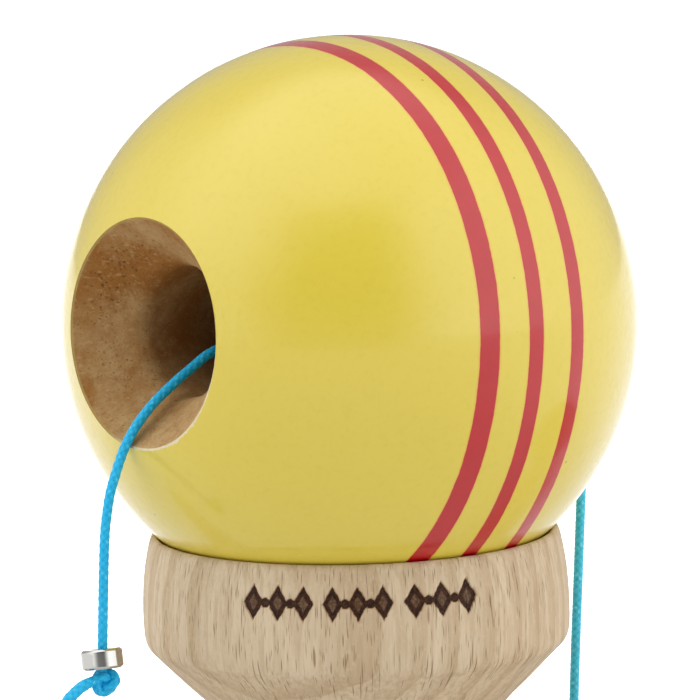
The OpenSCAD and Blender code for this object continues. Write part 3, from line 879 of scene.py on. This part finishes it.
kt = (15.2 - 13) / 2 / 25.2
cut(
    cross,
    cone_tool("t1", (0, 0, 36), (1, 0, 0),
              [(6.5 - kt * 3.0 + 0.02, -15.6), (6.5 + kt * 28.8 + 0.02, 16.2)], 128),
    cone_tool("t2", (0, 0, 36), (0, 1, 0),
              [(1.1, 0.0), (1.1, waist_r - 0.6), (2.5, waist_r + 0.8)], 48),
)
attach(cross, "ken_and_cross")
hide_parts("sarado")

# ---------------------------------------------------------------------- ken ----
base_r, grip_r, s_, g_ = 18.5, 8.8, -62.0, 100.0
beo = base_r - 2.2
bec = cap_r(beo, 7.7)
bea = math.degrees(math.asin(beo / bec))
tip = [(0, s_), (0.9, s_ + 0.08), (1.6, s_ + 0.4), (2.1, s_ + 0.95), (2.45, s_ + 1.8),
       (2.8, s_ + 3.6), (3.5, s_ + 9), (4.2, s_ + 15), (4.9, s_ + 22),
       (5.5, s_ + 30), (5.95, s_ + 38), (6.25, s_ + 44), (6.5, -12.6)]
seat = [(6.5, -12.6), (6.5 + kt * 12.6, 0), (6.5 + kt * 25.8, 13.2)]
shoulder = [(6.5 + kt * 25.8, 13.2), (9, 13.2)]
grip = [(9, 13.2), (9.5, 13.5), (9.75, 14.1), (9.75, 15.2), (9.5, 15.9), (8.9, 16.5),
        (8.3, 17.2), (7.9, 18.4), (7.65, 21), (7.7, 26), (8, 32), (8.4, 39),
        (grip_r - 0.1, 45), (grip_r, 50), (grip_r - 0.1, 55), (8.4, 61), (8, 67.5),
        (7.75, 73), (7.8, g_ - 23), (8.3, g_ - 19.2), (9.5, g_ - 15.6),
        (11.3, g_ - 12.6), (13.4, g_ - 10), (15.4, g_ - 7.9),
        (base_r - 1.5, g_ - 6.4), (base_r - 0.7, g_ - 5.6), (base_r - 0.25, g_ - 4.7),
        (base_r, g_ - 3.4), (base_r - 0.05, g_ - 2.2), (base_r - 0.35, g_ - 1),
        (base_r - 0.75, g_ - 0.3), (base_r - 1.2, g_ - 0.02), (base_r - 1.55, g_),
        (base_r - 1.95, g_ - 0.03), (beo, g_ - 0.3)]
bowl = arc((0, g_ - 8 + bec), bec, -90 + bea, -90, 26)
prof_k = np.vstack([
    smooth(tip, 0.8)[:-1], smooth(seat, 1.0)[:-1], smooth(shoulder, 0.6)[:-1],
    smooth(grip, 0.55)[:-1], np.array(bowl)])
prof_k[0, 0] = prof_k[-1, 0] = 0.0


def ken_move(p, ang, r, h, i):
    inside = (h > -14) & (h < 13.3)
    wob = 0.02 * waves(p, 11, 21) + 0.006 * waves(p * np.array([0.15, 1, 1]), 1.5, 22)
    ring = 0.006 * np.sin(h * 4.7) + 0.004 * np.sin(h * 9.9 + 1)
    rim = np.exp(-((h - 100) ** 2) / 0.6) + np.exp(-((h + 62) ** 2) / 2)
    knock = np.clip(waves(p, 4, 23) - 0.9, 0, 1) * 0.22 * rim
    off = np.where(inside, 0.0, wob + ring) - knock
    off[h > 99.5] = np.minimum(off[h > 99.5], 0)
    off[r < 0.5] = 0
    return off, {}


ken = lathe("ken", prof_k, np.linspace(0, 2 * math.pi, 320, endpoint=False),
            ((0, -1, 0), (0, 0, -1), (1, 0, 0)), (0, 0, 36), [wood_ken],
            move=ken_move)
cut(ken, cone_tool("t3", (0, 0, 36), (0, 1, 0),
                   [(2.3, -20.0), (2.3, -3.6), (1.1, -3.6), (1.1, 20.0)], 64))
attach(ken, "ken_and_cross")
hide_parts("ken")

# --------------------------------------------------------------------- ball ----
BR, BV, BO = 30.0, 11.8, 6.7
th_b = math.asin(BV / BR)
th_k = math.pi - math.asin(3.4 / 30)
sphere_t = np.concatenate([
    np.linspace(th_k, math.radians(40), 76, endpoint=False),
    np.linspace(math.radians(40), th_b + 0.034, 16, endpoint=False),
    th_b + np.array([0.034, 0.026, 0.019, 0.013, 0.008, 0.004]),
])
prof_t, mat_t, tag = [], [], []
for t in sphere_t:
    prof_t.append((BR * math.sin(t), BR * math.cos(t)))
    mat_t.append(0)
    tag.append(1)
# the lacquer's edge, then a narrow ledge of primed wood, then the bevel
LT = 0.05
bt = math.sqrt(BR * BR - BV * BV)
edge_t = th_b + 0.002
prof_t.append((BR * math.sin(edge_t), BR * math.cos(edge_t)))
mat_t.append(1)
tag.append(2)
prof_t.append(((BR - LT) * math.sin(edge_t), (BR - LT) * math.cos(edge_t)))
mat_t.append(1)
tag.append(3)
slope = (BV - BO) / (bt - 22.0)
n_bev = 44
# the bevel runs into the bore over a worn, rounded edge
for i in range(1, n_bev + 1):
    k = i / n_bev
    hh = (bt - 0.05) + (22.9 - (bt - 0.05)) * k
    prof_t.append((BO + (hh - 22.0) * slope, hh))
    mat_t.append(2)
    tag.append(4)
f0, f1, f2 = np.array([BO + 0.9 * slope, 22.9]), np.array([BO, 22.0]), np.array([BO, 20.7])
for k in (0.14, 0.28, 0.42, 0.56, 0.7, 0.85):
    q_ = (1 - k) ** 2 * f0 + 2 * k * (1 - k) * f1 + k * k * f2
    prof_t.append((float(q_[0]), float(q_[1])))
    mat_t.append(2)
    tag.append(4)
for hh in list(np.linspace(20.6, -18.0, 32)):
    prof_t.append((BO, hh))
    mat_t.append(2)
    tag.append(5)
for rr, hh in ((5.6, -18.7), (4.3, -19.6), (3.0, -20.4), (2.35, -20.4), (1.7, -20.42),
               (1.7, -23.5), (1.7, -26.5), (1.7, -29.0), (2.2, -29.3), (2.8, -29.6),
               (3.3, -29.74)):
    prof_t.append((rr, hh))
    mat_t.append(2)
    tag.append(6)
prof_t, tag = np.array(prof_t), np.array(tag)
e1 = np.cross((0, 0, 1), HOLE)
e1 /= np.linalg.norm(e1)
e2 = np.cross(HOLE, e1)
ang_t = np.linspace(0, 2 * math.pi, 540, endpoint=False)


def ball_move(p, ang, r, h, i):
    k = tag[i]
    deg = (np.degrees(ang) + 180) % 360 - 180
    radial = np.cos(ang)[:, None] * e1 + np.sin(ang)[:, None] * e2
    off = np.zeros((len(p), 3))
    q = p - CB
    nrm = q / np.linalg.norm(q, axis=1)[:, None]
    # orange peel and raised grain in the lacquer
    on = k == 1
    off[on] += (nrm * (0.012 * waves(p, 7, 31) + 0.004 * waves(p, 1.7, 32))[:, None])[on]
    # the lacquer's edge: even round most of the rim, chipped at the lower right
    rag = np.exp(-(((deg + 55) / 34) ** 2))
    line = np.stack([np.cos(ang), np.sin(ang), np.zeros(len(ang))], 1) * BV
    jag = np.abs(waves(line, 1.0, 41, octaves=3)) + 0.5 * np.clip(
        waves(line, 3.3, 42), 0, 1)
    back_off = 0.012 + 0.012 * waves(line, 6, 43) + rag * 0.15 * jag
    along = np.cross(radial, np.cross(HOLE, radial))  # radial
    # near-rim rings move outwards over the sphere with the edge
    th = np.arctan2(r, h)
    near = np.clip(1 - (th - edge_t) / 0.04, 0, 1) * np.isin(k, (1, 2, 3))
    dth = near * np.clip(back_off, 0, 0.6) / BR
    newr = np.linalg.norm(np.stack([r, h], 1), axis=1)
    rr, hh = newr * np.sin(th + dth), newr * np.cos(th + dth)
    off += (rr - r)[:, None] * radial + (hh - h)[:, None] * HOLE
    # torn grain on the bevel and in the bore
    bev = k == 4
    frac = np.clip((bt - h) / (bt - 22.0), 0, 1)
    inward = (-0.738 * radial + 0.6746 * HOLE)
    region = np.exp(-(((deg - 152) / 32) ** 2) - ((frac - 0.45) / 0.3) ** 2)
    region += 0.5 * np.exp(-(((deg + 150) / 30) ** 2) - ((frac - 0.45) / 0.3) ** 2)
    region += 0.55 * np.exp(-(((deg - 95) / 22) ** 2) - ((frac - 0.5) / 0.35) ** 2)
    sq = p * np.array([0.8, 1.0, 1.2])
    tear = np.clip(waves(sq, 0.46, 51, octaves=2) - 0.5, 0, 1) * (0.04 + region) * 1.7
    ridge = np.clip(waves(sq, 0.6, 52, octaves=2) - 0.5, 0, 1) * (0.1 + region) * 1.5
    tear, ridge = np.clip(tear, 0, 1), np.clip(ridge, 0, 0.8)
    rough = 0.028 * waves(p, 3.2, 53) + 0.016 * waves(p, 0.9, 54)
    fade = np.clip(frac / 0.05, 0, 1)
    d = fade * (rough - 0.09 * tear + 0.06 * ridge)
    off[bev] += (inward * d[:, None])[bev]
    bore = k == 5
    off[bore] -= (radial * (0.03 * waves(p, 2.5, 55) + 0.01)[:, None])[bore] * 0.0
    off[bore] += (radial * (0.02 + 0.02 * waves(p, 2.2, 56))[:, None])[bore]
    # the relief of the tears goes to the bore material as an attribute, which darkens the
    # pits as painted shade and lightens the ridges as painted highlight
    tear = np.where(bev, tear * fade - 0.6 * ridge * fade, 0.0)
    return off, {"tear": tear}


ball = lathe("ball", prof_t, ang_t, (e1, e2, HOLE), CB, [m_lacquer, m_primer, m_bore],
             ring_mat=mat_t, closed=True, move=ball_move)
ball.data.set_sharp_from_angle(angle=math.radians(38))
cross.data.set_sharp_from_angle(angle=math.radians(45))
ken.data.set_sharp_from_angle(angle=math.radians(45))
bead.data.set_sharp_from_angle(angle=math.radians(60))
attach(ball, "ball")
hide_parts("tama")

# ------------------------------------------------------------- string lengths ----


print("string lengths mm", length_of(path_a), length_of(path_b), length_of(path_c),
      length_of(knot_line), length_of(tail_line))

# ------------------------------------------------------- floor, light, backdrop ----
fl = bpy.data.meshes.new("floor")
fl.from_pydata([(-4, -4, 0), (4, -4, 0), (4, 4, 0), (-4, 4, 0)], [], [(0, 1, 2, 3)])
floor = bpy.data.objects.new("floor", fl)
bpy.context.scene.collection.objects.link(floor)
fn = Nodes("floor_paper")
fn.set(Base_Color=(0.74, 0.74, 0.74), Roughness=0.9)
far = fn.vmath("LENGTH", fn.co)
fx, fy, fz = fn.sep(fn.co)
# the paper glows beyond 0.1 m from the piece, most behind it and least in front: painted
# light, not a lamp
back_arc = fn.math("DIVIDE", fy, fn.math("ADD", far, 0.0001))
pool = fn.math("ADD", fn.ramp(back_arc, 0.93, 0.985, 0.0, 0.45),
               fn.ramp(back_arc, -0.9, -0.3, 0.08, 0.3))
fn.put(fn.bsdf.inputs["Emission Strength"],
       fn.math("MULTIPLY", fn.ramp(far, 0.10, 0.25), pool))
fn.bsdf.inputs["Specular IOR Level"].default_value = 0.1
fn.bsdf.inputs["Emission Color"].default_value = (1, 1, 1, 1)
fl.materials.append(fn.mat)

world = bpy.data.worlds.new("tent")
bpy.context.scene.world = world
world.use_nodes = True
wt = world.node_tree
wt.nodes.clear()


class WNodes(Nodes):
    def __init__(self, tree):
        self.t = tree


w = WNodes(wt)
bg = wt.nodes.new("ShaderNodeBackground")
wo = wt.nodes.new("ShaderNodeOutputWorld")
wt.links.new(bg.outputs[0], wo.inputs[0])
dirn = wt.nodes.new("ShaderNodeTexCoord").outputs["Generated"]
wx, wy, wz = w.sep(dirn)
azim = w.math("MULTIPLY", w.math("ARCTAN2", wx, w.math("MULTIPLY", wy, -1)), 180 / math.pi)
elev = w.math("MULTIPLY", w.math("ARCSINE", wz), 180 / math.pi)
below = w.ramp(elev, 44, 64, 1, 0)
right = w.math("MULTIPLY", w.ramp(azim, 12, 46), w.ramp(azim, 82, 150, 1.68, 0.36, "LINEAR"))
left = w.math("MULTIPLY", w.ramp(azim, -16, -58, 0, 1),
              w.ramp(azim, -150, -82, 0.36, 1.35, "LINEAR"))
sides = w.math("MULTIPLY", w.math("ADD", right, left), below)
top = w.math("MULTIPLY", w.ramp(elev, 44, 64), 1.3)
kd = Vector((-0.5, -0.22, 0.84)).normalized()
key = w.ramp(w.vmath("DOT_PRODUCT", dirn, tuple(kd)), 0.7, 0.97)
total = w.math("ADD", w.math("ADD", sides, top), w.math("MULTIPLY", key, 0.5))
# a low glow over the front edge of the paper
glow = w.math("MULTIPLY", w.ramp(elev, 0, 17, 0.3, 0.0), w.ramp(wy, -0.2, -0.7, 0, 1))
total = w.math("ADD", total, w.math("ADD", glow, 0.06))
bg.inputs[0].default_value = (1, 1, 1, 1)
w.put(bg.inputs[1], total)


def area(name, loc, to, size, power, color=(1, 1, 1), spread=180):
    d = bpy.data.lights.new(name, "AREA")
    d.shape, d.size, d.size_y = "RECTANGLE", size[0], size[1]
    d.energy, d.color = power, color
    d.spread = math.radians(spread)
    o = bpy.data.objects.new(name, d)
    bpy.context.scene.collection.objects.link(o)
    o.location = loc
    o.rotation_euler = (Vector(to) - Vector(loc)).to_track_quat("-Z", "Y").to_euler()
    return o
